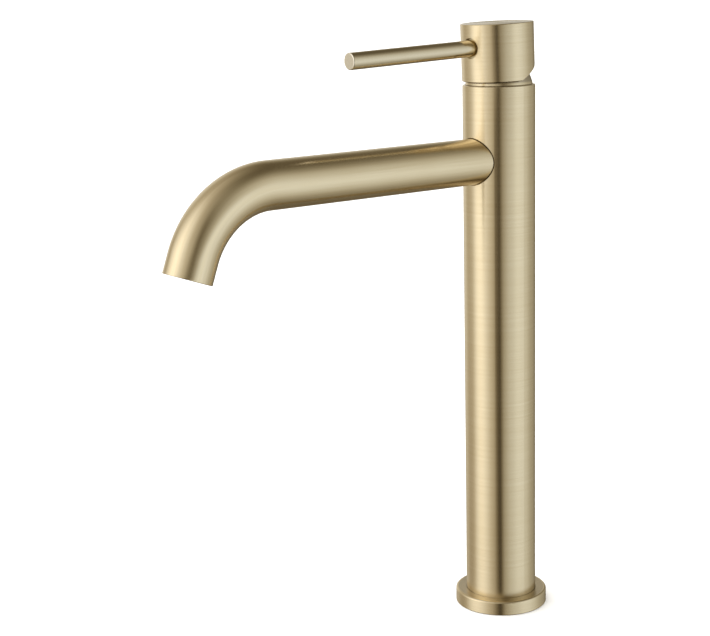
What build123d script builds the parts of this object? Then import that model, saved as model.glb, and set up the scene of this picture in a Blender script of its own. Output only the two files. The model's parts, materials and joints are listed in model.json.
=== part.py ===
from build123d import *
import os
from math import cos, radians, sin, sqrt, tan

# Tall single-lever basin mixer. Millimetres, +Z up, origin on the deck at the column's axis.
# The spout and the lever point to -Y. Hot is on the left of someone facing the spout, at -X.

# Column and base
column_diameter = 40.0
column_wall = 2.0
column_top = 300.0
column_edge = 0.4
flange_diameter = 52.4
flange_thickness = 8.0
flange_edge = 1.1
flange_foot_edge = 0.3
lip_thickness = 3.0
lip_inset = 3.0
gasket_thickness = 1.6
gasket_width = 3.8
gasket_inset = 1.0

# Foot block with its hose inlets (M10x1) and stud holes (M6), threads left plain
foot_height = 21.0
inlet_radius = 4.5
inlet_depth = 10.0
inlet_offset = 9.0
inlet_passage_radius = 3.3
stud_hole_radius = 2.5
stud_hole_depth = 12.0
stud_offset = 11.5

# Riser pipes
riser_diameter = 10.0
riser_wall = 1.0
riser_foot_socket = 7.0
riser_block_socket = 14.0
riser_bore_radius = 4.0
riser_bore_web = 3.0
seal_section = 1.5
seal_height = 2.0
seal_margin = 2.0

# Spout
spout_diameter = 25.4
spout_wall = 1.2
spout_below_seat = 9.8
spout_reach = 202.5
spout_bend_radius = 48.0
spout_bend_angle = 70.0
spout_tail = 10.5
spout_edge = 0.35
spout_pocket_depth = 3.0
spout_joint_gap = 0.4
insert_length = 12.0
insert_bore_radius = 5.0
stub_radius = 7.0
stub_length = 8.4
outlet_bore_radius = 3.3

# Aerator, sizes measured inwards from the outlet's face
holder_wall = 1.85
holder_length = 10.0
holder_inset = 0.3
holder_lip = 1.3
holder_lip_wall = 3.4
washer_thickness = 1.2
housing_inset = 0.8
housing_wall = 1.9
housing_lip = 1.2
housing_lip_width = 0.7
housing_notch = 1.0
housing_notch_width = 2.0
screen_thickness = 2.0
screen_pitch = 1.95
screen_web = 0.45

# Head and lever
head_height = 30.9
head_gap = 2.6
head_edge = 0.5
head_foot_edge = 0.3
head_play = 0.5
relief_start = 1.0
rim_clearance = 4.1
lever_diameter = 9.0
lever_reach = 101.0
lever_drop = 12.6
lever_edge = 0.6
recess_diameter = 11.6
recess_depth = 2.5
lever_thread_radius = 3.0
lever_thread_length = 7.5
grub_length = 6.0
grub_key = 3.0
grub_key_depth = 2.5

# Lever travel: it dips a little when shut and lifts from there
closed_dip = 2.0
lift_range = 24.0

# Dome between head and column, concentric with the pivot
dome_step = 1.2
dome_wall = 1.8
dome_rise = 13.5
dome_skirt = 7.5
dome_skirt_wall = 1.3
pivot_depth = 3.0

# Cartridge
cartridge_diameter = 25.0
cartridge_wall = 1.7
stem_width = 6.5
stem_over_lever = 4.5
stem_edge = 0.8
stem_hub_below = 3.5
stem_arm = 11.0
arm_radius = 2.2
ball_radius = 2.8
pin_radius = 1.5
pin_inset = 0.3
sleeve_radius = 8.2
sleeve_rise = 7.0
sleeve_flange_top = 5.0
sleeve_flange_thickness = 3.7
glide_thickness = 0.6
glide_width = 1.8
neck_wall = 1.5
neck_rise = 5.0
roof_thickness = 2.0
carrier_radius = 8.2
carrier_floor = 1.8
carrier_over_ball = 2.0
tongue_width = 11.6
tongue_length = 8.8
tongue_height = 1.8
flare_radius = 4.2
lug_width = 2.8
lug_reach = 1.6
lug_height = 2.0
moving_disc_thickness = 3.0
mixing_pocket_radius = 4.6
mixing_pocket_depth = 1.4
mixing_pocket_offset = 0.4
fixed_disc_thickness = 3.3
base_thickness = 6.0
base_flange_thickness = 3.0
port_radius = 1.9
port_x = 4.8
port_y = 3.6
outlet_port_radius = 2.3
outlet_port_y = 3.5
port_seal_width = 1.3
port_seal_height = 1.2

# Retaining nut and the valve block's top
nut_radius = 15.0
nut_thread = 4.5
nut_hex_flats = 27.0
nut_hex_height = 3.3
block_top_rise = 2.0
block_below_spout = 20.5

# Clearances
seat = 0.1
running = 0.05
pin_fit = 0.02
film = 0.02
play = 0.3

# Levels and radii that follow from the sizes above
column_radius = column_diameter / 2
bore_radius = column_radius - column_wall
block_radius = bore_radius - seat
lip_radius = column_radius - lip_inset
spout_radius = spout_diameter / 2
spout_bore = spout_radius - spout_wall
riser_radius = riser_diameter / 2
lever_radius = lever_diameter / 2
head_radius = column_radius
dome_radius = column_radius - dome_step
cartridge_radius = cartridge_diameter / 2
chamber_radius = cartridge_radius - cartridge_wall
neck_radius = sleeve_radius + seat + neck_wall

pivot_z = column_top - pivot_depth
head_bottom = column_top + head_gap
head_top = head_bottom + head_height
lever_z = head_top - lever_drop
stem_top = lever_z + stem_over_lever
ball_z = pivot_z - stem_arm
carrier_bottom = ball_z - ball_radius - play - carrier_floor
carrier_top = ball_z + carrier_over_ball
moving_bottom = carrier_bottom - moving_disc_thickness
fixed_bottom = moving_bottom - film - fixed_disc_thickness
seat_z = fixed_bottom - base_thickness
base_shoulder = seat_z + base_flange_thickness
spout_z = seat_z - spout_below_seat
flange_low = pivot_z - sleeve_flange_top - sleeve_flange_thickness
roof_low = pivot_z - sleeve_flange_top + seat + glide_thickness
roof_high = roof_low + roof_thickness
block_bottom = spout_z - block_below_spout
block_top = pivot_z + block_top_rise
pocket_y = bore_radius - spout_pocket_depth

# Lever swing and the disc's slide that goes with it
open_tilt = lift_range - closed_dip
ball_shut = stem_arm * sin(radians(closed_dip))
ball_open = stem_arm * sin(radians(open_tilt))
disc_travel = ball_shut + ball_open
disc_shut = disc_travel / 2

os.makedirs("parts", exist_ok=True)


def rod(radius, low, high, x=0.0, y=0.0):
    """Upright cylinder between two levels."""
    return Pos(x, y, (low + high) / 2) * Cylinder(radius, high - low)


def tube(outer, inner, low, high, x=0.0, y=0.0):
    """Upright ring between two levels."""
    return rod(outer, low, high, x, y) - rod(inner, low - 1, high + 1, x, y)


def along(radius, near, far, z, x=0.0):
    """Cylinder along Y between two distances in front of the axis."""
    return Pos(x, -(near + far) / 2, z) * Rot(90, 0, 0) * Cylinder(radius, far - near)


def prism(points, width):
    """Outline in Y and Z, extruded both ways along X."""
    return extrude(Plane.YZ * make_face(Polyline(*points, close=True)), amount=width / 2, both=True)


def shut(shape):
    """Lever piece, made upright, tipped into the shut position."""
    return Pos(0, 0, pivot_z) * Rot(closed_dip, 0, 0) * Pos(0, 0, -pivot_z) * shape


def save(shape, node):
    """Writes one node."""
    export_step(shape, f"parts/{node}.step")


def rim(shape, level):
    """Outermost round edge of a turned shape at one level."""
    edges = shape.edges().filter_by(GeomType.CIRCLE).filter_by_position(Axis.Z, level - 0.01, level + 0.01)
    return edges.sort_by(SortBy.RADIUS)[-1]


def base_flange():
    """Ring on the deck whose inner lip carries the column."""
    body = rod(flange_diameter / 2, 0, flange_thickness)
    body = fillet(rim(body, flange_thickness), flange_edge)
    body = chamfer(rim(body, 0), flange_foot_edge)
    body -= rod(column_radius + 2 * seat, lip_thickness, flange_thickness + 1)
    body -= rod(lip_radius, -1, lip_thickness + 1)
    inner = column_radius - gasket_inset
    body -= tube(inner + gasket_width + seat, inner - seat, -1, gasket_thickness)
    return body


def base_gasket():
    """Rubber ring, pressed flush with the flange's underside."""
    inner = column_radius - gasket_inset
    return tube(inner + gasket_width, inner, 0, gasket_thickness)


def column():
    """Tube from the flange's lip to the dome, with the spout's hole in front."""
    body = rod(column_radius, lip_thickness, column_top)
    body = chamfer(rim(body, column_top), column_edge)
    body -= rod(bore_radius, lip_thickness - 1, column_top + 1)
    body -= along(spout_radius + spout_joint_gap, 0, column_radius + 1, spout_z)
    return body


def foot_block():
    """Plug in the column's foot: hose inlets below, riser sockets above, stud holes front and back."""
    body = rod(block_radius, lip_thickness, foot_height) + rod(lip_radius - 2 * seat, 0, lip_thickness)
    socket_low = foot_height - riser_foot_socket
    for x in (-inlet_offset, inlet_offset):
        body -= rod(inlet_radius, -1, inlet_depth, x)
        body -= rod(inlet_passage_radius, 0, foot_height, x)
        body -= rod(riser_radius + seat, socket_low, foot_height + 1, x)
        body -= seal_ring(foot_height - seal_margin - seal_height, x, seat)
    for y in (-stud_offset, stud_offset):
        body -= rod(stud_hole_radius, -1, stud_hole_depth, 0, y)
    return body


def seal_ring(low, x, extra=0.0):
    """Pressed seal ring around a riser, or its groove when extra room is given."""
    inner = riser_radius if extra == 0 else riser_radius - 1
    return tube(riser_radius + seal_section + extra, inner, low, low + seal_height, x)


def seal_pair(low):
    """One seal ring around each riser."""
    return Compound([seal_ring(low, -inlet_offset), seal_ring(low, inlet_offset)])


def riser(x):
    """Pipe between the foot block and the valve block."""
    low = foot_height - riser_foot_socket
    high = block_bottom + riser_block_socket
    return tube(riser_radius - pin_fit, riser_radius - riser_wall, low, high, x)


def valve_block():
    """Brass body with the cartridge well on top, the spout's pocket in front and the riser sockets below."""
    skirt_z = column_top - dome_skirt - play
    body = rod(block_radius, block_bottom, skirt_z)
    body += rod(block_radius - dome_skirt_wall - seat, skirt_z, block_top)
    body -= rod(cartridge_radius + seat, seat_z, block_top + 1)
    body -= rod(nut_radius + seat, roof_high - play, block_top + 1)
    for side in (-1, 1):
        x = side * inlet_offset
        socket_high = block_bottom + riser_block_socket
        body -= rod(riser_radius + seat, block_bottom - 1, socket_high, x)
        body -= rod(riser_bore_radius, block_bottom, seat_z - riser_bore_web, x)
        body -= seal_ring(block_bottom + seal_margin, x, seat)
        body -= rod(port_radius, seat_z - 2 * riser_bore_web, seat_z + 1, side * port_x, -port_y)
    body -= along(spout_radius + seat, pocket_y, column_radius, spout_z)
    body -= along(stub_radius + seat, pocket_y - stub_length - seat, pocket_y + 1, spout_z)
    body -= along(outlet_bore_radius, -outlet_port_y - 2 * outlet_port_radius, pocket_y, spout_z)
    body -= rod(outlet_port_radius, spout_z, seat_z + 1, 0, outlet_port_y)
    return body


def spout_path():
    """Centre line of the spout from the valve block's pocket to the outlet."""
    bend = radians(spout_bend_angle)
    past = spout_tail + spout_bend_radius * tan(bend / 2)
    corner = spout_reach - past * cos(bend)
    start = (0, -pocket_y, spout_z)
    end = (0, -spout_reach, spout_z - past * sin(bend))
    return FilletPolyline(start, (0, -corner, spout_z), end, radius=spout_bend_radius)


def outlet_plane():
    """Plane of the outlet, looking back up the spout."""
    path = spout_path()
    return Plane(origin=path @ 1, x_dir=(1, 0, 0), z_dir=-(path % 1))


def spout_tube():
    """Bent tube with a softened outlet edge."""
    path = spout_path()
    face = Plane(origin=path @ 0, z_dir=path % 0)
    body = sweep(face * Circle(spout_radius), path=path)
    mouth = body.edges().filter_by(GeomType.CIRCLE).sort_by_distance(path @ 1)[0]
    body = fillet(mouth, spout_edge)
    return body - sweep(face * Circle(spout_bore), path=path)


def spout_insert():
    """Nipple brazed into the spout's root that plugs into the valve block."""
    body = along(spout_bore - running, pocket_y, pocket_y + insert_length, spout_z)
    body += along(stub_radius, pocket_y - stub_length, pocket_y, spout_z)
    body -= along(insert_bore_radius, pocket_y - stub_length - 1, pocket_y + insert_length + 1, spout_z)
    return body - spout_seal(seat)


def spout_seal(extra=0.0):
    """Seal ring on the nipple's stub, or its groove when extra room is given."""
    middle = pocket_y - stub_length / 2
    half = seal_height / 2 + extra
    outer = stub_radius + seat if extra == 0 else stub_radius + 1
    ring = along(outer, middle - half, middle + half, spout_z)
    return ring - along(stub_radius - seal_section / 2 - extra, middle - 2 * half, middle + 2 * half, spout_z)


def aerator_holder():
    """Threaded ring brazed into the outlet, with a lip for the washer."""
    outer = spout_bore - running
    high = holder_inset + holder_length
    body = tube(outer, outer - holder_wall, holder_inset, high - holder_lip)
    body += tube(outer, outer - holder_lip_wall, high - holder_lip, high)
    return outlet_plane() * body


def aerator_washer():
    """Rubber washer between the holder's lip and the aerator."""
    outer = spout_bore - running - holder_wall - seat
    high = holder_inset + holder_length - holder_lip
    inner = spout_bore - running - holder_lip_wall
    return outlet_plane() * tube(outer, inner, high - washer_thickness, high)


def aerator_housing():
    """Screw-in cup with key notches around its mouth."""
    outer = spout_bore - running - holder_wall - seat
    high = holder_inset + holder_length - holder_lip - washer_thickness
    inner = outer - housing_wall
    body = tube(outer, inner, housing_inset, high)
    body += tube(inner, inner - housing_lip_width, housing_inset, housing_inset + housing_lip)
    key = Pos(outer, 0, housing_inset) * Box(2 * housing_wall - 0.8, housing_notch_width, 2 * housing_notch)
    for turn in range(4):
        body -= Rot(0, 0, 90 * turn + 45) * key
    return outlet_plane() * body


def aerator_screen():
    """Honeycomb disc that the water leaves through."""
    radius = spout_bore - running - holder_wall - seat - housing_wall - running
    low = housing_inset + housing_lip
    cell = RegularPolygon((screen_pitch - screen_web) / 2, 6, major_radius=False)
    limit = radius - housing_lip_width - screen_pitch / 2
    steps = int(2 * radius / screen_pitch)
    spots = HexLocations(screen_pitch / 2, steps | 1, steps | 1)
    cells = Sketch() + [spot * cell for spot in spots if spot.position.length < limit]
    body = rod(radius, low, low + screen_thickness)
    return outlet_plane() * (body - Pos(0, 0, low - 1) * extrude(cells, amount=screen_thickness + 2))


def ports(low, high, extra=0.0):
    """Two inlet ports and the outlet port as upright plugs."""
    plugs = [rod(port_radius + extra, low, high, side * port_x, -port_y) for side in (-1, 1)]
    return plugs + [rod(outlet_port_radius + extra, low, high, 0, outlet_port_y)]


def cartridge_base():
    """Plate under the discs with recesses for the port seals."""
    body = rod(cartridge_radius, seat_z, base_shoulder) + rod(chamber_radius - seat, base_shoulder, fixed_bottom)
    body -= ports(seat_z - 1, fixed_bottom + 1)
    return body - ports(seat_z - 1, seat_z + port_seal_height, port_seal_width + seat)


def port_seals():
    """Three seal rings between the cartridge and its seat."""
    rings = ports(seat_z, seat_z + port_seal_height, port_seal_width)
    holes = ports(seat_z - 1, seat_z + port_seal_height + 1)
    return Compound([ring - hole for ring, hole in zip(rings, holes)])


def fixed_disc():
    """Ceramic disc with the three ports."""
    high = fixed_bottom + fixed_disc_thickness
    return rod(chamber_radius - seat, fixed_bottom, high) - ports(fixed_bottom - 1, high + 1)


def lugs(extra=0.0):
    """Two lugs that carry the carrier's motion into the moving disc."""
    width = lug_width + 2 * extra
    reach = 2 * (lug_reach + extra)
    block = Box(reach, width, 2 * (lug_height + extra))
    pair = [Pos(side * carrier_radius, disc_shut, carrier_bottom) * block for side in (-1, 1)]
    return pair


def moving_disc():
    """Ceramic disc with the mixing pocket underneath."""
    body = rod(carrier_radius, moving_bottom, carrier_bottom, 0, disc_shut)
    low = moving_bottom - 1
    body -= rod(mixing_pocket_radius, low, moving_bottom + mixing_pocket_depth, 0, disc_shut + mixing_pocket_offset)
    return body - lugs(seat)


def disc_carrier():
    """Driver that the stem's ball pushes to and fro."""
    body = rod(carrier_radius, carrier_bottom, carrier_top, 0, disc_shut)
    reach = rod(carrier_radius, carrier_bottom - lug_height, carrier_bottom, 0, disc_shut)
    body += [reach & lug for lug in lugs()]
    high = carrier_top + tongue_height
    body += Pos(0, ball_shut, (carrier_top + high) / 2) * Box(tongue_width, tongue_length, tongue_height)
    socket = ball_radius + 3 * running
    body -= rod(socket, carrier_bottom + carrier_floor, high + 1, 0, ball_shut)
    flare = Cone(socket, flare_radius, high - ball_z)
    return body - Pos(0, ball_shut, (ball_z + high) / 2) * flare


def swing_slot(low, high):
    """Slot through the sleeve that the stem swings in, from shut to open."""
    opened = tan(radians(open_tilt))
    closed = tan(radians(closed_dip))
    half = stem_width / 2 / cos(radians(open_tilt)) + play
    outline = [
        (-half - high * closed, pivot_z + high),
        (half + high * opened, pivot_z + high),
        (half, pivot_z),
        (half + low * closed, pivot_z - low),
        (-half - low * opened, pivot_z - low),
        (-half, pivot_z),
    ]
    return prism(outline, stem_width + play)


def turning_sleeve():
    """Sleeve that turns in the cartridge's neck and holds the lever's pivot."""
    flange_high = pivot_z - sleeve_flange_top
    body = rod(sleeve_radius, flange_high, pivot_z + sleeve_rise)
    body += rod(chamber_radius - play, flange_low, flange_high)
    body -= swing_slot(pivot_z - flange_low + 1, sleeve_rise + 1)
    channel_high = carrier_top + tongue_height + play
    channel = Box(tongue_width + play, 2 * cartridge_radius, 2 * (channel_high - flange_low))
    body -= Pos(0, 0, flange_low) * channel
    return body - pivot_pin(pin_fit, 2 * pin_inset)


def pivot_pin(extra=0.0, longer=0.0):
    """Cross pin that the lever lifts about, or its hole when extra room is given."""
    half = sqrt(sleeve_radius**2 - pin_radius**2) - pin_inset + longer
    return Pos(0, 0, pivot_z) * Rot(0, 90, 0) * Cylinder(pin_radius + extra, 2 * half)


def cartridge_housing():
    """Shell around the discs, with the neck that the sleeve turns in."""
    body = rod(cartridge_radius, base_shoulder, roof_high) + rod(neck_radius, roof_high, pivot_z + neck_rise)
    body -= rod(chamber_radius, base_shoulder - 1, roof_low)
    return body - rod(sleeve_radius + seat, roof_low - 1, pivot_z + neck_rise + 1)


def glide_ring():
    """Thrust ring between the sleeve's flange and the shell's roof."""
    outer = chamber_radius - seat
    return tube(outer, outer - glide_width, roof_low - glide_thickness, roof_low)


def retaining_nut():
    """Threaded ring with a hexagon that holds the cartridge down."""
    body = rod(nut_radius, roof_high, roof_high + nut_thread)
    hexagon = RegularPolygon(nut_hex_flats / 2, 6, major_radius=False)
    body += Pos(0, 0, roof_high + nut_thread) * extrude(hexagon, amount=nut_hex_height)
    return body - rod(neck_radius + 2 * seat, roof_high - 1, roof_high + nut_thread + nut_hex_height + 1)


def dome_cover():
    """Domed collar on the column's rim, concentric with the lever's pivot."""
    high = pivot_z + dome_rise
    body = Pos(0, 0, pivot_z) * Sphere(dome_radius) & rod(dome_radius + 1, column_top, high)
    body -= Pos(0, 0, pivot_z) * Sphere(dome_radius - dome_wall)
    skirt_inner = block_radius - dome_skirt_wall
    body += tube(block_radius, skirt_inner, column_top - dome_skirt, column_top + seat)
    return body - rod(skirt_inner, column_top - dome_skirt, column_top + seat)


def lever_stem():
    """Square stem with the pivot eye, ending in the ball that drives the carrier."""
    low = pivot_z - stem_hub_below
    body = Pos(0, 0, (low + stem_top) / 2) * Box(stem_width, stem_width, stem_top - low)
    body = chamfer(body.faces().sort_by(Axis.Z)[-1].edges(), stem_edge)
    body += rod(arm_radius, ball_z, low) + Pos(0, 0, ball_z) * Sphere(ball_radius)
    return shut(body - pivot_pin(running, sleeve_radius))


def head_relief():
    """Sloped cut under the head's back that clears the column's rim at full lift."""
    tilt = radians(open_tilt)
    back = (pivot_depth + rim_clearance + head_radius * sin(tilt)) / cos(tilt) + pivot_z
    slope = (back - head_bottom) / (head_radius + relief_start)
    far = 1.5 * head_radius
    under = 2.0
    outline = [
        (-relief_start - under / slope, head_bottom - under),
        (far, head_bottom - under),
        (far, head_bottom + slope * (far + relief_start)),
    ]
    return prism(outline, 3 * head_radius)


def head_cavity():
    """Hollow over the dome, just high enough for the dome's rim at full lift."""
    tilt = radians(open_tilt)
    dome_rim = sqrt(dome_radius**2 - dome_rise**2)
    high = dome_rise * cos(tilt) + dome_rim * sin(tilt) + head_play
    ball = Pos(0, 0, pivot_z) * Sphere(dome_radius + head_play)
    return ball & rod(2 * dome_radius, pivot_z - 1, pivot_z + high)


def handle_head():
    """Round head with the lever's recess in front and the stem's socket inside."""
    body = rod(head_radius, head_bottom, head_top)
    body = fillet(rim(body, head_top), head_edge)
    body = chamfer(rim(body, head_bottom), head_foot_edge)
    body -= head_cavity()
    body -= head_relief()
    socket = stem_width + 2 * seat
    socket_high = stem_top + play
    body -= Pos(0, 0, (pivot_z + socket_high) / 2) * Box(socket, socket, socket_high - pivot_z)
    body -= along(recess_diameter / 2, head_radius - recess_depth, head_radius + 1, lever_z)
    body -= along(lever_thread_radius + running, 0, head_radius, lever_z)
    return shut(body)


def lever_rod():
    """Pin lever with a threaded root and a softened tip."""
    root = head_radius - recess_depth
    body = along(lever_radius, root, lever_reach, lever_z)
    tip = body.edges().filter_by(GeomType.CIRCLE).sort_by(Axis.Y)[0]
    body = fillet(tip, lever_edge)
    body += along(lever_thread_radius, root - lever_thread_length, root, lever_z)
    return shut(body)


def grub_screw():
    """Socket screw behind the lever's root that clamps the head to the stem."""
    near = stem_width / 2
    far = near + grub_length
    body = along(lever_thread_radius, near, far, lever_z)
    key = extrude(RegularPolygon(grub_key / 2, 6, major_radius=False), amount=grub_key_depth)
    return shut(body - Pos(0, -far, lever_z) * Rot(-90, 0, 0) * key)


save(base_flange(), "base_flange")
save(base_gasket(), "base_gasket")
save(column(), "column")
save(foot_block(), "foot_block")
save(riser(-inlet_offset), "hot_riser")
save(riser(inlet_offset), "cold_riser")
save(seal_pair(foot_height - seal_margin - seal_height), "foot_seals")
save(seal_pair(block_bottom + seal_margin), "block_seals")
save(valve_block(), "valve_block")
save(spout_tube(), "spout_tube")
save(spout_insert(), "spout_insert")
save(spout_seal(), "spout_seal")
save(aerator_holder(), "aerator_holder")
save(aerator_washer(), "aerator_washer")
save(aerator_housing(), "aerator_housing")
save(aerator_screen(), "aerator_screen")
save(cartridge_base(), "cartridge_base")
save(port_seals(), "port_seals")
save(fixed_disc(), "fixed_disc")
save(cartridge_housing(), "cartridge_housing")
save(glide_ring(), "glide_ring")
save(retaining_nut(), "retaining_nut")
save(dome_cover(), "dome_cover")
save(turning_sleeve(), "turning_sleeve")
save(pivot_pin(), "pivot_pin")
save(lever_stem(), "lever_stem")
save(handle_head(), "handle_head")
save(lever_rod(), "lever_rod")
save(grub_screw(), "grub_screw")
save(moving_disc(), "moving_disc")
save(disc_carrier(), "disc_carrier")
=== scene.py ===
"""Studio scene of a tall single-lever basin mixer in brushed champagne gold.

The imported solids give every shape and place. This script adds the finishes, the swept spout,
the honeycomb outlet, the ring in the lever's recess, the threads in the foot, the floor, the
light and the camera.
"""

import json
import logging
import math
from dataclasses import dataclass
from enum import Enum
from typing import Any

import bpy
from mathutils import Euler, Matrix, Vector

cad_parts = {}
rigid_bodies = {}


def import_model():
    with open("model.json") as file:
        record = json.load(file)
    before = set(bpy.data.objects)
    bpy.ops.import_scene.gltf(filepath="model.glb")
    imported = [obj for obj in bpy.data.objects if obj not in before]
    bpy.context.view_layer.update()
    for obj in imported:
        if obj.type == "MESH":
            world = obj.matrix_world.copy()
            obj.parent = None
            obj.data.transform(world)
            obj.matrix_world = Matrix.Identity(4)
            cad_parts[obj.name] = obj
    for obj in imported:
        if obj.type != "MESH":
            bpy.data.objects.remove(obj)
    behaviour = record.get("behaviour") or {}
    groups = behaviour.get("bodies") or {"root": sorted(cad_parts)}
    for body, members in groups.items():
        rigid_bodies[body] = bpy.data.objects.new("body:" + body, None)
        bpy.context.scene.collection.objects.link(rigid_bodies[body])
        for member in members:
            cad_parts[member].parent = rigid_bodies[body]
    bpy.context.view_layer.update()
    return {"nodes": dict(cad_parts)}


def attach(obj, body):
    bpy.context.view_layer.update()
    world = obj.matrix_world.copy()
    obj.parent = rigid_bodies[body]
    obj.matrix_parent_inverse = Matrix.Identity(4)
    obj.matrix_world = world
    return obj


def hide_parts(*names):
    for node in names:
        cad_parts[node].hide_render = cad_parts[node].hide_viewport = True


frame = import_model()

log = logging.getLogger("mixer")

MM = 0.001
MICRON = 0.000001
DEGREES = 180.0 / math.pi
QUARTER_TURN = 0.25
MIDDLE = 0.5
Triple = tuple[float, float, float]

BODY = "mixer_body"
# Painted shade: dark colour for the lines of shade at the dome's foot and under the head's edge.
PAINTED_SHADE: Triple = (0.30, 0.24, 0.15)
RUBBER_LIGHT: Triple = (0.05, 0.05, 0.05)
RUBBER_DEEP: Triple = (0.02, 0.02, 0.02)
TONE_LOW = 0.34
TONE_HIGH = 0.66
CREASE = 30.0


class Grain(Enum):
    """Which way the brush ran over a turned or drawn piece."""

    AROUND = "around"
    ALONG = "along"


@dataclass(frozen=True)
class Signal:
    """A value socket that takes part in arithmetic."""

    tree: "ShaderTree"
    socket: bpy.types.NodeSocket

    def __add__(self, other: "Signal | float") -> "Signal":
        """Sum of two values."""
        return self.tree.math("ADD", self, other)

    def __radd__(self, other: float) -> "Signal":
        """Sum with a number in front."""
        return self.tree.math("ADD", other, self)

    def __sub__(self, other: "Signal | float") -> "Signal":
        """Difference of two values."""
        return self.tree.math("SUBTRACT", self, other)

    def __rsub__(self, other: float) -> "Signal":
        """Difference with a number in front."""
        return self.tree.math("SUBTRACT", other, self)

    def __mul__(self, other: "Signal | float") -> "Signal":
        """Product of two values."""
        return self.tree.math("MULTIPLY", self, other)

    def __rmul__(self, other: float) -> "Signal":
        """Product with a number in front."""
        return self.tree.math("MULTIPLY", other, self)

    def __truediv__(self, other: "Signal | float") -> "Signal":
        """Quotient of two values."""
        return self.tree.math("DIVIDE", self, other)

    def __rtruediv__(self, other: float) -> "Signal":
        """Quotient with a number in front."""
        return self.tree.math("DIVIDE", other, self)

    def __pow__(self, other: "Signal | float") -> "Signal":
        """Power of a value."""
        return self.tree.math("POWER", self, other)

    def __rpow__(self, other: float) -> "Signal":
        """Power of a number in front."""
        return self.tree.math("POWER", other, self)


class ShaderTree:
    """Node tree of a material or of the world, filled by calls."""

    def __init__(self, owner: bpy.types.ID) -> None:
        """Empties the owner's tree.

        Args:
            owner: Material or world that the tree belongs to.
        """
        owner.use_nodes = True
        self.tree = owner.node_tree
        self.tree.nodes.clear()

    def add(self, kind: str, settings: dict[str, Any] | None = None,
            inputs: dict[Any, Any] | None = None) -> bpy.types.Node:
        """Adds one node.

        Args:
            kind: Node type.
            settings: Node properties, set before its sockets; "stops" fills a colour ramp.
            inputs: Socket name or number to a value, a signal or a socket.

        Returns:
            The new node.
        """
        node = self.tree.nodes.new(kind)
        for key, value in (settings or {}).items():
            if key == "stops":
                self._fill_ramp(node.color_ramp, value)
            else:
                setattr(node, key, value)
        for key, value in (inputs or {}).items():
            self._feed(node.inputs[key], value)
        return node

    def value(self, kind: str, settings: dict[str, Any] | None = None,
              inputs: dict[Any, Any] | None = None, output: Any = 0) -> Signal:
        """Adds one node and wraps one of its outputs."""
        return Signal(self, self.add(kind, settings, inputs).outputs[output])

    def math(self, operation: str, first: Signal | float, second: Signal | float = 0.0) -> Signal:
        """Adds one Math node."""
        return self.value("ShaderNodeMath", {"operation": operation}, {0: first, 1: second})

    def smooth(self, value: Signal, low: float, high: float, start: Signal | float = 0.0,
               end: Signal | float = 1.0) -> Signal:
        """Eases from start to end while a value goes from low to high."""
        inputs = {"Value": value, "From Min": low, "From Max": high, "To Min": start, "To Max": end}
        return self.value("ShaderNodeMapRange", {"interpolation_type": "SMOOTHSTEP"}, inputs)

    def tint(self, factor: Signal, first: Signal | Triple, second: Signal | Triple) -> Signal:
        """Mixes two colours.

        Args:
            factor: Share of the second colour.
            first: Colour at 0.
            second: Colour at 1.

        Returns:
            The mixed colour.
        """
        node = self.add("ShaderNodeMix", {"data_type": "RGBA", "clamp_factor": True})
        self._feed(node.inputs["Factor"], factor)
        colours = [s for s in node.inputs if s.type == "RGBA"]
        for socket, colour in zip(colours, (first, second)):
            self._feed(socket, colour if isinstance(colour, Signal) else (*colour, 1.0))
        return Signal(self, next(s for s in node.outputs if s.type == "RGBA"))

    def noise(self, vector: Signal, scale: float = 1.0, detail: float = 2.0,
              roughness: float = 0.5) -> Signal:
        """Adds a noise texture, whose value lies around the middle."""
        inputs = {"Vector": vector, "Scale": scale, "Detail": detail, "Roughness": roughness}
        return self.value("ShaderNodeTexNoise", {"noise_dimensions": "3D"}, inputs)

    def _feed(self, socket: bpy.types.NodeSocket, value: Any) -> None:
        """Links or sets one input socket.

        Args:
            socket: The input.
            value: A signal, a socket or a plain value.
        """
        source = value.socket if isinstance(value, Signal) else value
        if isinstance(source, bpy.types.NodeSocket):
            self.tree.links.new(source, socket)
        else:
            socket.default_value = source

    @staticmethod
    def _fill_ramp(ramp: bpy.types.ColorRamp, stops: tuple[tuple[float, Triple], ...]) -> None:
        """Puts the stops into a colour ramp.

        Args:
            ramp: The ramp.
            stops: Positions with their colours.
        """
        while len(ramp.elements) < len(stops):
            ramp.elements.new(MIDDLE)
        for element, (position, colour) in zip(ramp.elements, stops):
            element.position = position
            element.color = (*colour, 1.0)


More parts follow.
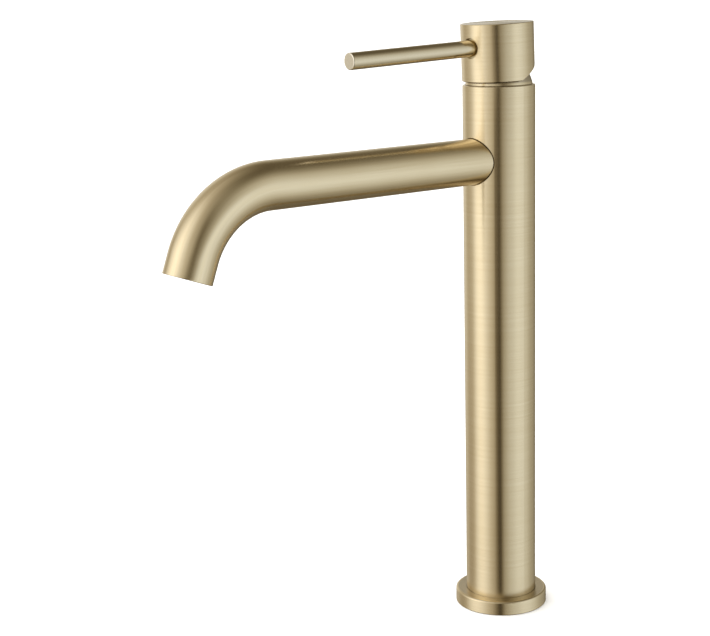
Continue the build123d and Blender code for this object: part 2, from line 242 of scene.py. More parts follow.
class Surface:
    """A material on its way: object coordinates in, one principled shader out."""

    def __init__(self, name: str) -> None:
        """Starts an empty material with that name."""
        self.material = bpy.data.materials.new(name)
        self.tree = ShaderTree(self.material)

    def place(self, origin: Triple = (0, 0, 0), turn: Triple = (0, 0, 0)) -> Signal:
        """Object coordinates, moved and turned so that the piece's own axis is Z.

        Args:
            origin: Point on the piece's axis.
            turn: Turn in radians that brings the axis upright.

        Returns:
            The placed coordinates.
        """
        where = self.tree.add("ShaderNodeTexCoord").outputs["Object"]
        shift = Euler(turn).to_matrix() @ Vector(origin)
        inputs = {"Vector": where, "Location": tuple(-shift), "Rotation": turn}
        return self.tree.value("ShaderNodeMapping", {"vector_type": "POINT"}, inputs)

    def split(self, vector: Signal) -> tuple[Signal, Signal, Signal]:
        """Takes a vector apart into its three values."""
        node = self.tree.add("ShaderNodeSeparateXYZ", inputs={0: vector})
        return tuple(Signal(self.tree, s) for s in node.outputs)

    def join(self, x: Signal | float, y: Signal | float, z: Signal | float) -> Signal:
        """Makes a vector of three values."""
        return self.tree.value("ShaderNodeCombineXYZ", inputs={0: x, 1: y, 2: z})

    @staticmethod
    def radius(x: Signal, y: Signal) -> Signal:
        """Distance from the piece's axis."""
        return (x * x + y * y) ** 0.5

    def bump(self, height: Signal, strength: float, distance: float) -> Signal:
        """Adds a bump, with the distance in metres of a full step of height, and gives its normal."""
        inputs = {"Height": height, "Strength": strength, "Distance": distance}
        return self.tree.value("ShaderNodeBump", inputs=inputs, output="Normal")

    def finish(self, inputs: dict[str, Any]) -> bpy.types.Material:
        """Ends in a principled shader.

        Args:
            inputs: Its sockets.

        Returns:
            The finished material.
        """
        shader = self.tree.add("ShaderNodeBsdfPrincipled", inputs=inputs)
        self.tree.add("ShaderNodeOutputMaterial", inputs={"Surface": shader.outputs[0]})
        return self.material


@dataclass(frozen=True)
class PaintedLightPatch:
    """Zone of a piece in a painted tone (painted shade, reflection or highlight), near an axis and between
    two levels along it.
    """

    tone: Triple
    low: float
    high: float
    reach: float = 1.0
    origin: Triple = (0.0, 0.0, 0.0)
    turn: Triple = (0.0, 0.0, 0.0)
    edge: float = 0.06 * MM

    def mask(self, surface: Surface) -> Signal:
        """Share of the zone at a point of the surface.

        Args:
            surface: Material that wears the patch.

        Returns:
            1 inside and 0 outside.
        """
        tree = surface.tree
        x, y, z = surface.split(surface.place(self.origin, self.turn))
        away = surface.radius(x, y)
        near = tree.smooth(away, self.reach - self.edge, self.reach + self.edge, 1.0, 0.0)
        over = tree.smooth(z, self.low - self.edge, self.low + self.edge)
        under = tree.smooth(z, self.high - self.edge, self.high + self.edge, 1.0, 0.0)
        return near * over * under


@dataclass(frozen=True)
class BrushLines:
    """Brush lines: noise cells per metre across and along them, and how strongly they show."""

    hair: float = 3400.0
    hair_run: float = 22.0
    hair_octaves: float = 3.0
    hair_bite: float = 0.65
    band: float = 620.0
    band_run: float = 14.0
    cloud: float = 28.0
    hair_share: float = 0.55
    band_share: float = 0.2
    cloud_share: float = 0.25
    hair_relief: float = 0.75
    band_relief: float = 0.25
    cloud_spread: float = 0.04
    strength: float = 0.06
    depth: float = 40.0 * MICRON


@dataclass(frozen=True)
class BrushedGold:
    """Champagne gold plating over fine brush lines that follow the piece, with any painted shade,
    reflection or highlight from its patches.
    """

    name: str
    grain: Grain = Grain.AROUND
    origin: Triple = (0.0, 0.0, 0.0)
    turn: Triple = (0.0, 0.0, 0.0)
    carried: bool = False
    light: Triple = (0.885, 0.755, 0.515)
    deep: Triple = (0.82, 0.685, 0.445)
    roughness: float = 0.25
    spread: float = 0.04
    anisotropy: float = 0.8
    patches: tuple[PaintedLightPatch, ...] = ()
    lines: BrushLines = BrushLines()

    def stroke(self, surface: Surface, spot: Signal, across: float, run: float) -> Signal:
        """Coordinates that are stretched the way the brush ran.

        Args:
            surface: Material that wears the lines.
            spot: Coordinates with the piece's axis on Z.
            across: Scale across the lines.
            run: Scale along them.

        Returns:
            The stretched coordinates.
        """
        x, y, z = surface.split(spot)
        if self.grain is Grain.AROUND:
            return surface.join(x * run, y * run, (z + surface.radius(x, y)) * across)
        return surface.join(x * across, y * across, z * run)

    def material(self) -> bpy.types.Material:
        """Builds the material.

        Returns:
            The material.
        """
        surface = Surface(self.name)
        tree = surface.tree
        lines = self.lines
        if self.carried:
            spot = tree.value("ShaderNodeAttribute", {"attribute_name": "grain"}, output="Vector")
        else:
            spot = surface.place(self.origin, self.turn)
        fine = self.stroke(surface, spot, lines.hair, lines.hair_run)
        broad = self.stroke(surface, spot, lines.band, lines.band_run)
        hair = tree.noise(fine, detail=lines.hair_octaves, roughness=lines.hair_bite)
        band = tree.noise(broad)
        cloud = tree.noise(spot, lines.cloud)
        shares = hair * lines.hair_share + band * lines.band_share + cloud * lines.cloud_share
        colour = tree.tint(tree.smooth(shares, TONE_LOW, TONE_HIGH), self.deep, self.light)
        # Painted shade, reflections and highlights of the patches, mixed over the plating's colour.
        for patch in self.patches:
            colour = tree.tint(patch.mask(surface), colour, patch.tone)
        rough = self.roughness + (hair - MIDDLE) * self.spread + (cloud - MIDDLE) * lines.cloud_spread
        relief = hair * lines.hair_relief + band * lines.band_relief
        return surface.finish({
            "Base Color": colour,
            "Metallic": 1.0,
            "Roughness": rough,
            "Anisotropic": self.anisotropy,
            "Anisotropic Rotation": QUARTER_TURN,
            "Normal": surface.bump(relief, lines.strength, lines.depth),
        })


@dataclass(frozen=True)
class MachinedMetal:
    """Bare metal with turning rings left by the tool."""

    name: str
    light: Triple
    deep: Triple
    roughness: float = 0.3
    pitch: float = 0.35 * MM
    stain: float = 140.0
    stain_octaves: float = 4.0
    stain_bite: float = 0.6
    grit: float = 2200.0
    stain_share: float = 0.8
    ring_share: float = 0.06
    grit_share: float = 0.14
    spread: float = 0.16
    strength: float = 0.25
    depth: float = 30.0 * MICRON

    def material(self) -> bpy.types.Material:
        """Builds the material.

        Returns:
            The material.
        """
        surface = Surface(self.name)
        tree = surface.tree
        spot = surface.place()
        x, y, z = surface.split(spot)
        rings = tree.math("SINE", (surface.radius(x, y) + z) * (2.0 * math.pi / self.pitch))
        stain = tree.noise(spot, self.stain, self.stain_octaves, self.stain_bite)
        grit = tree.noise(spot, self.grit)
        shares = stain * self.stain_share + rings * self.ring_share + grit * self.grit_share
        return surface.finish({
            "Base Color": tree.tint(tree.smooth(shares, TONE_LOW, TONE_HIGH), self.deep, self.light),
            "Metallic": 1.0,
            "Roughness": self.roughness + (stain - MIDDLE) * self.spread,
            "Normal": surface.bump((rings + grit) * MIDDLE, self.strength, self.depth),
        })


@dataclass(frozen=True)
class Moulded:
    """Moulded plastic, rubber or fired ceramic with a fine skin."""

    name: str
    light: Triple
    deep: Triple
    roughness: float
    skin: float
    relief: float
    coat: float = 0.0
    skin_octaves: float = 3.0
    skin_bite: float = 0.55
    flow: float = 60.0
    tone_low: float = 0.35
    tone_high: float = 0.65
    spread: float = 0.14
    depth: float = 100.0 * MICRON

    def material(self) -> bpy.types.Material:
        """Builds the material.

        Returns:
            The material.
        """
        surface = Surface(self.name)
        tree = surface.tree
        spot = surface.place()
        skin = tree.noise(spot, self.skin, self.skin_octaves, self.skin_bite)
        flow = tree.noise(spot, self.flow)
        tone = tree.smooth((skin + flow) * MIDDLE, self.tone_low, self.tone_high)
        return surface.finish({
            "Base Color": tree.tint(tone, self.deep, self.light),
            "Roughness": self.roughness + (skin - MIDDLE) * self.spread,
            "Coat Weight": self.coat,
            "Normal": surface.bump(skin, self.relief, self.depth),
        })


@dataclass(frozen=True)
class PaleFloor:
    """Matt pale studio floor."""

    name: str = "studio_floor"
    light: Triple = (0.93, 0.93, 0.93)
    deep: Triple = (0.90, 0.90, 0.90)
    cloud: float = 3.0
    roughness: float = 0.9

    def material(self) -> bpy.types.Material:
        """Builds the material.

        Returns:
            The material.
        """
        surface = Surface(self.name)
        tree = surface.tree
        tone = tree.noise(surface.place(), self.cloud)
        return surface.finish({
            "Base Color": tree.tint(tone, self.deep, self.light),
            "Roughness": self.roughness,
            "Specular IOR Level": 0.0,
        })


def dress(material: bpy.types.Material, *nodes: str) -> None:
    """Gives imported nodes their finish.

    Args:
        material: The finish.
        nodes: Names of the nodes.
    """
    for node in nodes:
        for slot in frame["nodes"][node].material_slots:
            slot.material = material
        log.info("%s wears %s", node, material.name)


class GeometryTree:
    """Geometry node tree with named inputs, filled by calls."""

    def __init__(self, name: str, inputs: dict[str, str]) -> None:
        """Starts a tree with a geometry input and output.

        Args:
            name: Name of the tree.
            inputs: Input name to socket type.
        """
        self.tree = bpy.data.node_groups.new(name, "GeometryNodeTree")
        face = self.tree.interface
        face.new_socket("Geometry", in_out="INPUT", socket_type="NodeSocketGeometry")
        self.ids = {}
        for label, kind in inputs.items():
            self.ids[label] = face.new_socket(label, in_out="INPUT", socket_type=kind).identifier
        face.new_socket("Geometry", in_out="OUTPUT", socket_type="NodeSocketGeometry")
        self.source = self.tree.nodes.new("NodeGroupInput")
        self.result = self.tree.nodes.new("NodeGroupOutput")

    def given(self, label: str) -> bpy.types.NodeSocket:
        """Socket of a named input."""
        return self.source.outputs[label]

    def add(self, kind: str, settings: dict[str, Any] | None = None,
            inputs: dict[Any, Any] | None = None, output: Any = 0) -> bpy.types.NodeSocket:
        """Adds one node.

        Args:
            kind: Node type.
            settings: Node properties, set before its sockets.
            inputs: Socket name or number to a value, a socket or a list of sockets.
            output: Name or number of the output.

        Returns:
            The output socket.
        """
        node = self.tree.nodes.new(kind)
        for key, value in (settings or {}).items():
            setattr(node, key, value)
        for key, value in (inputs or {}).items():
            for item in value if isinstance(value, list) else [value]:
                if isinstance(item, bpy.types.NodeSocket):
                    self.tree.links.new(item, node.inputs[key])
                else:
                    node.inputs[key].default_value = item
        return node.outputs[output]

    def circle(self, sides: Any, radius: Any) -> bpy.types.NodeSocket:
        """Adds a circle or a regular polygon, from values or sockets."""
        inputs = {"Resolution": sides, "Radius": radius}
        return self.add("GeometryNodeCurvePrimitiveCircle", {"mode": "RADIUS"}, inputs)

    def rectangle(self, width: Any, height: Any) -> bpy.types.NodeSocket:
        """Adds a rectangle, from values or sockets."""
        inputs = {"Width": width, "Height": height}
        return self.add("GeometryNodeCurvePrimitiveQuadrilateral", {"mode": "RECTANGLE"}, inputs)

    def recall(self, name: str, kind: str) -> bpy.types.NodeSocket:
        """Reads a stored attribute."""
        return self.add("GeometryNodeInputNamedAttribute", {"data_type": kind}, {"Name": name})

    def close(self, geometry: bpy.types.NodeSocket) -> None:
        """Realizes, gives the material and ends the tree.

        Args:
            geometry: What the tree has made.
        """
        real = self.add("GeometryNodeRealizeInstances", inputs={0: geometry})
        worn = self.given("Material")
        done = self.add("GeometryNodeSetMaterial", inputs={"Geometry": real, "Material": worn})
        self.tree.links.new(done, self.result.inputs[0])

    def make(self, name: str, seed: bpy.types.Mesh, values: dict[str, Any],
             material: bpy.types.Material) -> bpy.types.Object:
        """Runs the tree on a seed mesh and keeps the result as a plain mesh.

        Args:
            name: Name of the piece.
            seed: Mesh that the tree starts from.
            values: Input name to value.
            material: Finish of the piece.

        Returns:
            The finished piece at the origin.
        """
        piece = bpy.data.objects.new(name, seed)
        bpy.context.scene.collection.objects.link(piece)
        modifier = piece.modifiers.new(name, "NODES")
        modifier.node_group = self.tree
        for label, value in {**values, "Material": material}.items():
            modifier[self.ids[label]] = value
        graph = bpy.context.evaluated_depsgraph_get()
        mesh = bpy.data.meshes.new_from_object(piece.evaluated_get(graph), depsgraph=graph)
        piece.modifiers.clear()
        piece.data = mesh
        mesh.materials.clear()
        mesh.materials.append(material)
        bpy.data.meshes.remove(seed)
        return piece


def shade(piece: bpy.types.Object, angle: float = CREASE) -> None:
    """Smooths a piece and keeps its creases.

    Args:
        piece: The piece.
        angle: Crease angle in degrees.
    """
    mesh = piece.data
    mesh.polygons.foreach_set("use_smooth", [True] * len(mesh.polygons))
    mesh.set_sharp_from_angle(angle=math.radians(angle))


def polyline(name: str, points: list[Triple], joined: bool) -> bpy.types.Mesh:
    """Seed mesh of points, with or without edges between them.

    Args:
        name: Name of the mesh.
        points: The points in metres.
        joined: Whether each point is joined to the next.

    Returns:
        The mesh.
    """
    mesh = bpy.data.meshes.new(name)
    edges = [(i, i + 1) for i in range(len(points) - 1)] if joined else []
    mesh.from_pydata(points, edges, [])
    return mesh


@dataclass
class Pedestal:
    """Column, base flange and gasket."""

    top: float = 300.0 * MM
    # Painted shade: a dark band at the foot of the dome, where it meets the column's top.
    seam_shade_low: float = 2.0 * MM
    seam_shade_high: float = 0.35 * MM
    # Painted shade: the dome darker from just above the column's top, where it lies under the head.
    under_head_shade_low: float = 1.6 * MM
    under_head_shade_high: float = 40.0 * MM
    under_head_shade_edge: float = 0.6 * MM
    under_head_shade_tone: Triple = (0.58, 0.50, 0.37)
    # Painted shade: a darker band on the flange's top face next to the column.
    foot_shade_low: float = 7.6 * MM
    foot_shade_high: float = 9.0 * MM
    foot_shade_reach: float = 24.7 * MM
    foot_shade_edge: float = 0.15 * MM
    foot_shade_tone: Triple = (0.66, 0.565, 0.39)
    dome_roughness: float = 0.24
    rubber: Moulded = Moulded("gasket_rubber", RUBBER_LIGHT, RUBBER_DEEP,
                              roughness=0.75, skin=900.0, relief=0.3)

    def dress(self) -> None:
        """Gives each node its finish, with painted shade on the flange's top next to the column and on the
        dome under the head and at its foot.
        """
        dress(BrushedGold("column_gold").material(), "column")
        # Painted shade on the flange's top face next to the column.
        foot = PaintedLightPatch(self.foot_shade_tone, self.foot_shade_low, self.foot_shade_high, self.foot_shade_reach, edge=self.foot_shade_edge)
        dress(BrushedGold("flange_gold", patches=(foot,)).material(), "base_flange")
        # Painted shade on the dome under the head.
        under_head_shade_low, under_head_shade_high = self.top + self.under_head_shade_low, self.top + self.under_head_shade_high
        under_head_shade = PaintedLightPatch(self.under_head_shade_tone, under_head_shade_low, under_head_shade_high, edge=self.under_head_shade_edge)
        # Painted shade: the dome's foot darkened where it meets the column.
        seam_shade = PaintedLightPatch(PAINTED_SHADE, self.top - self.seam_shade_low, self.top + self.seam_shade_high)
        dome = BrushedGold("dome_gold", roughness=self.dome_roughness, patches=(under_head_shade, seam_shade))
        dress(dome.material(), "dome_cover")
        dress(self.rubber.material(), "base_gasket")


@dataclass
class Spout:
    """Swept spout tube and the outlet that sits in its mouth."""

    root: float = 15.0 * MM
    height: float = 258.98 * MM
    reach: float = 202.5 * MM
    bend_radius: float = 48.0 * MM
    bend_angle: float = math.radians(70.0)
    tail: float = 10.5 * MM
    outer: float = 12.67 * MM
    wall: float = 1.2 * MM
    rim: float = 0.35 * MM
    lip: float = 0.1 * MICRON
    weld: float = 2.0 * MICRON
    crease: float = 40.0
    segments: int = 112
    bend_steps: int = 56
    rim_steps: int = 6
    screen_depth: float = 2.0 * MM
    screen_inset: float = 2.0 * MM
    screen_radius: float = 7.55 * MM
    screen_rim: float = 1.1 * MM
    screen_segments: int = 72
    cell_pitch: float = 1.95 * MM
    cell_web: float = 0.45 * MM
    cell_fit: float = 0.985
    cell_sides: int = 6
    cell_rows: int = 5
    body: str = BODY
    gold: BrushedGold = BrushedGold("spout_gold", Grain.ALONG, carried=True, roughness=0.21, anisotropy=0.0)
    holder: BrushedGold = BrushedGold("holder_gold", roughness=0.3, anisotropy=0.0)
    white: Moulded = Moulded("outlet_plastic", (0.80, 0.80, 0.78), (0.70, 0.70, 0.68),
                             roughness=0.42, skin=700.0, relief=0.12)
    grey: Moulded = Moulded("housing_plastic", (0.30, 0.31, 0.33), (0.20, 0.21, 0.22),
                            roughness=0.45, skin=800.0, relief=0.15)
    rubber: Moulded = Moulded("washer_rubber", RUBBER_LIGHT, RUBBER_DEEP,
                              roughness=0.75, skin=900.0, relief=0.3)

    def line(self) -> tuple[list[Triple], list[float]]:
        """Centre line of the tube with its outside taper towards the mouth.

        Returns:
            Points in metres and the share of the outside radius at each.
        """
        past = self.tail + self.bend_radius * math.tan(self.bend_angle / 2)
        corner = self.reach - past * math.cos(self.bend_angle)
        start = corner - self.bend_radius * math.tan(self.bend_angle / 2)
        runs = [(self.root, self.height), (start, self.height)]
        for step in range(1, self.bend_steps + 1):
            turn = self.bend_angle * step / self.bend_steps
            runs.append((start + self.bend_radius * math.sin(turn),
                         self.height - self.bend_radius * (1 - math.cos(turn))))
        shares = [1.0] * len(runs)
        tip = runs[-1]
        ahead = (math.cos(self.bend_angle), -math.sin(self.bend_angle))
        ends = [(self.tail - 2 * self.rim, 1.0)]
        for step in range(self.rim_steps + 1):
            turn = math.pi / 2 * step / self.rim_steps
            inset = self.rim * (1 - math.cos(turn))
            ends.append((self.tail - self.rim + self.rim * math.sin(turn), 1 - inset / self.outer))
        ends.append((self.tail + self.lip, 1 - self.wall / self.outer))
        for along, share in ends:
            runs.append((tip[0] + ahead[0] * along, tip[1] + ahead[1] * along))
            shares.append(share)
        return [(0.0, -y, z) for y, z in runs], shares

    def outlet(self) -> tuple[Triple, Triple]:
        """Centre of the outlet's face, and the turn that points Z back up the tube."""
        points, _ = self.line()
        return points[-1], (self.bend_angle - math.pi / 2, 0.0, 0.0)

    def sweep_tree(self) -> GeometryTree:
        """Tree that sweeps the outside and the bore along the centre line.

        Returns:
            The tree.
        """
        tree = GeometryTree("spout_sweep", {
            "Outer Radius": "NodeSocketFloat", "Bore Share": "NodeSocketFloat",
            "Segments": "NodeSocketInt", "Material": "NodeSocketMaterial",
        })
        path = tree.add("GeometryNodeMeshToCurve", inputs={"Mesh": tree.given("Geometry")})
        run = tree.add("GeometryNodeSplineParameter", output="Length")
        path = tree.add("GeometryNodeStoreNamedAttribute", {"data_type": "FLOAT", "domain": "POINT"},
                        {"Geometry": path, "Name": "run", "Value": run})
        circle = tree.circle(tree.given("Segments"), tree.given("Outer Radius"))
        spot = tree.add("GeometryNodeInputPosition")
        vector = {"data_type": "FLOAT_VECTOR", "domain": "POINT"}
        circle = tree.add("GeometryNodeStoreNamedAttribute", vector,
                          {"Geometry": circle, "Name": "ring", "Value": spot})
        taper = tree.recall("taper", "FLOAT")
        outside = tree.add("GeometryNodeCurveToMesh",
                           inputs={"Curve": path, "Profile Curve": circle, "Scale": taper})
        bore = tree.add("GeometryNodeCurveToMesh",
                        inputs={"Curve": path, "Profile Curve": circle, "Scale": tree.given("Bore Share")})
        bore = tree.add("GeometryNodeFlipFaces", inputs={"Mesh": bore})
        both = tree.add("GeometryNodeJoinGeometry", inputs={"Geometry": [outside, bore]})
        ring = tree.recall("ring", "FLOAT_VECTOR")
        x, y, _ = tree.add("ShaderNodeSeparateXYZ", inputs={0: ring}).node.outputs
        length = tree.recall("run", "FLOAT")
        grain = tree.add("ShaderNodeCombineXYZ", inputs={0: x, 1: y, 2: length})
        both = tree.add("GeometryNodeStoreNamedAttribute", vector,
                        {"Geometry": both, "Name": "grain", "Value": grain})
        welded = tree.add("GeometryNodeMergeByDistance", inputs={"Geometry": both, "Distance": self.weld})
        tree.close(welded)
        return tree

    def build_tube(self) -> bpy.types.Object:
        """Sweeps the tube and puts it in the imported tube's place.

        Returns:
            The tube.
        """
        points, shares = self.line()
        seed = polyline("spout_line", points, True)
        taper = seed.attributes.new("taper", "FLOAT", "POINT")
        taper.data.foreach_set("value", shares)
        bore = 1 - self.wall / self.outer
        values = {"Outer Radius": self.outer, "Bore Share": bore, "Segments": self.segments}
        tube = self.sweep_tree().make("spout_sweep", seed, values, self.gold.material())
        shade(tube, self.crease)
        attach(tube, self.body)
        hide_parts("spout_tube")
        return tube

    def screen_tree(self) -> GeometryTree:
        """Tree that sets honeycomb cells on the outlet's face.

        Returns:
            The tree.
        """
        tree = GeometryTree("outlet_honeycomb", {
            "Cell Radius": "NodeSocketFloat", "Web": "NodeSocketFloat", "Depth": "NodeSocketFloat",
            "Rim Radius": "NodeSocketFloat", "Rim Width": "NodeSocketFloat", "Centre": "NodeSocketVector",
            "Turn": "NodeSocketRotation", "Material": "NodeSocketMaterial",
        })
        wall = tree.rectangle(tree.given("Web"), tree.given("Depth"))
        hexagon = tree.circle(self.cell_sides, tree.given("Cell Radius"))
        cell = tree.add("GeometryNodeCurveToMesh", inputs={"Curve": hexagon, "Profile Curve": wall})
        points = tree.add("GeometryNodeMeshToPoints", inputs={"Mesh": tree.given("Geometry")})
        cells = tree.add("GeometryNodeInstanceOnPoints", inputs={"Points": points, "Instance": cell})
        band = tree.rectangle(tree.given("Rim Width"), tree.given("Depth"))
        circle = tree.circle(self.screen_segments, tree.given("Rim Radius"))
        rim = tree.add("GeometryNodeCurveToMesh", inputs={"Curve": circle, "Profile Curve": band})
        both = tree.add("GeometryNodeJoinGeometry", inputs={"Geometry": [cells, rim]})
        placed = tree.add("GeometryNodeTransform", inputs={
            "Geometry": both, "Translation": tree.given("Centre"), "Rotation": tree.given("Turn"),
        })
        tree.close(placed)
        return tree

    def build_screen(self) -> bpy.types.Object:
        """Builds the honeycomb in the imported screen's place.

        Returns:
            The honeycomb.
        """
        centre, turn = self.outlet()
        up = Euler(turn).to_matrix() @ Vector((0, 0, 1))
        middle = Vector(centre) + up * (self.screen_inset + self.screen_depth / 2)
        limit = self.screen_radius - self.screen_rim / 2
        rows = range(-self.cell_rows, self.cell_rows + 1)
        spots = []
        for row in rows:
            for step in rows:
                x = row * self.cell_pitch * math.sqrt(3) / 2
                y = (step + row % 2 / 2) * self.cell_pitch
                if math.hypot(x, y) < limit:
                    spots.append((x, y, 0.0))
        seed = polyline("outlet_cells", spots, False)
        values = {
            "Cell Radius": self.cell_pitch / math.sqrt(3) * self.cell_fit,
            "Web": self.cell_web, "Depth": self.screen_depth,
            "Rim Radius": limit, "Rim Width": self.screen_rim,
            "Centre": tuple(middle), "Turn": turn,
        }
        screen = self.screen_tree().make("outlet_honeycomb", seed, values, self.white.material())
        shade(screen)
        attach(screen, self.body)
        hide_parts("aerator_screen")
        return screen

    def dress(self) -> None:
        """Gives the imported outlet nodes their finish."""
        dress(self.holder.material(), "aerator_holder")
        dress(self.grey.material(), "aerator_housing")
        dress(self.rubber.material(), "aerator_washer")


@dataclass
class Handle:
    """Tilting head with its pin lever."""

    pivot: float = 297.0 * MM
    lever_height: float = 320.9 * MM
    dip: float = math.radians(2.0)
    radius: float = 20.0 * MM
    bottom: float = 302.6 * MM
    top: float = 333.5 * MM
    recess: float = 5.8 * MM
    recess_depth: float = 2.5 * MM
    bush: float = 5.45 * MM
    bush_edge: float = 0.15 * MM
    bush_depth: float = 1.2 * MM
    bush_steps: int = 96
    lever_radius: float = 4.5 * MM
    reach: float = 101.0 * MM
    recess_shade_rise: float = 0.2 * MM
    recess_shade_margin: float = 0.1 * MM
    # Painted shade: a dark band at the head's lower edge, over the gap above the dome.
    skirt_shade_band: float = 0.32 * MM
    disc_reflection_band: float = 0.12 * MM
    tip_highlight_band: float = 0.35 * MM
    body: str = "lever"
    # Painted reflection: the head's top face paler and less yellow than the plating.
    disc_reflection_tone: Triple = (0.89, 0.79, 0.60)
    # Painted shade inside the lever's recess, where light hardly reaches.
    recess_shade_tone: Triple = (0.64, 0.54, 0.36)
    # Painted highlight: the lever's end face in a bright cream.
    tip_highlight_tone: Triple = (0.98, 0.91, 0.76)
    # Painted shade in the ring's groove around the lever.
    bush_shade_tone: Triple = (0.56, 0.47, 0.29)
    # Painted shade: the lever's gold in darker colours than the head's, a shaded copy of the plating.
    lever_shaded_light: Triple = (0.81, 0.705, 0.505)
    lever_shaded_deep: Triple = (0.77, 0.665, 0.465)
    lever_roughness: float = 0.15
    steel: MachinedMetal = MachinedMetal("screw_steel", (0.45, 0.45, 0.46), (0.30, 0.30, 0.31),
                                         roughness=0.35)

    def upright(self) -> tuple[Triple, Triple]:
        """Point on the head's axis and the turn that brings the axis upright."""
        return (0.0, 0.0, self.pivot), (-self.dip, 0.0, 0.0)

    def along(self) -> tuple[Triple, Triple]:
        """Start and direction of the lever.

        Returns:
            Where its axis meets the head's axis, and the turn that stands the lever on its tip.
        """
        rise = self.lever_height - self.pivot
        start = (0.0, -rise * math.sin(self.dip), self.pivot + rise * math.cos(self.dip))
        return start, (math.pi / 2 - self.dip, 0.0, 0.0)

    def build_bush(self) -> bpy.types.Object:
        """Lines the lever's recess with a thin ring that ends flush with the round of the head.

        Returns:
            The ring.
        """
        start, turn = self.along()
        back = Euler(turn).to_matrix().transposed()
        floor = self.recess_depth - self.radius
        profile = ((self.recess, 0.0), (self.bush + self.bush_edge, 0.0), (self.bush, self.bush_edge),
                   (self.bush, self.bush_depth), (self.lever_radius, self.bush_depth),
                   (self.lever_radius, None), (self.recess, None))
        points, faces = [], []
        for step in range(self.bush_steps):
            angle = 2.0 * math.pi * step / self.bush_steps
            for radius, sunk in profile:
                x, y = radius * math.cos(angle), radius * math.sin(angle)
                z = floor if sunk is None else sunk - math.sqrt(self.radius ** 2 - x * x)
                points.append(tuple(back @ Vector((x, y, z)) + Vector(start)))
            here, there = step * len(profile), (step + 1) % self.bush_steps * len(profile)
            for first in range(len(profile)):
                second = (first + 1) % len(profile)
                faces.append((here + first, there + first, there + second, here + second))
        mesh = bpy.data.meshes.new("recess_bush")
        mesh.from_pydata(points, [], faces)
        on_axis, upright = self.upright()
        # Painted shade in the gap between the ring and the lever.
        groove_shade = PaintedLightPatch(self.bush_shade_tone, -self.radius, 0.0, self.bush + self.bush_edge / 2, start, turn)
        finish = BrushedGold("bush_gold", Grain.AROUND, on_axis, upright, anisotropy=0.0, patches=(groove_shade,))
        mesh.materials.append(finish.material())
        ring = bpy.data.objects.new("recess_bush", mesh)
        bpy.context.scene.collection.objects.link(ring)
        shade(ring)
        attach(ring, self.body)
        return ring

    def dress(self) -> None:
        """Gives the head, the lever and the clamp screw their finish, with painted shade in the recess and
        under the head's edge, a painted reflection on the head's top and a painted highlight on the lever's
        end.
        """
        on_axis, upright = self.upright()
        start, along = self.along()
        floor = self.recess_depth - self.radius + self.recess_shade_rise
        skirt_shade = self.bottom - self.pivot + self.skirt_shade_band
        disc = self.top - self.pivot - self.disc_reflection_band
        patches = (
            # Painted shade on the recess's wall and floor.
            PaintedLightPatch(self.recess_shade_tone, -self.radius, floor, self.recess + self.recess_shade_margin, start, along),
            # Painted shade along the head's lower edge.
            PaintedLightPatch(PAINTED_SHADE, 0.0, skirt_shade, origin=on_axis, turn=upright),
            # Painted reflection on the head's top face.
            PaintedLightPatch(self.disc_reflection_tone, disc, self.reach, origin=on_axis, turn=upright),
        )
        head = BrushedGold("head_gold", Grain.AROUND, on_axis, upright, patches=patches)
        dress(head.material(), "handle_head")
        # Painted highlight on the lever's end face.
        tip = PaintedLightPatch(self.tip_highlight_tone, -2.0 * self.reach, self.tip_highlight_band - self.reach, origin=start, turn=along)
        # The lever wears the gold plating in its darker, painted-shade colours.
        lever = BrushedGold("lever_gold", Grain.AROUND, start, along, light=self.lever_shaded_light,
                            deep=self.lever_shaded_deep, roughness=self.lever_roughness, anisotropy=0.0,
                            patches=(tip,))
        dress(lever.material(), "lever_rod")
        dress(self.steel.material(), "grub_screw")


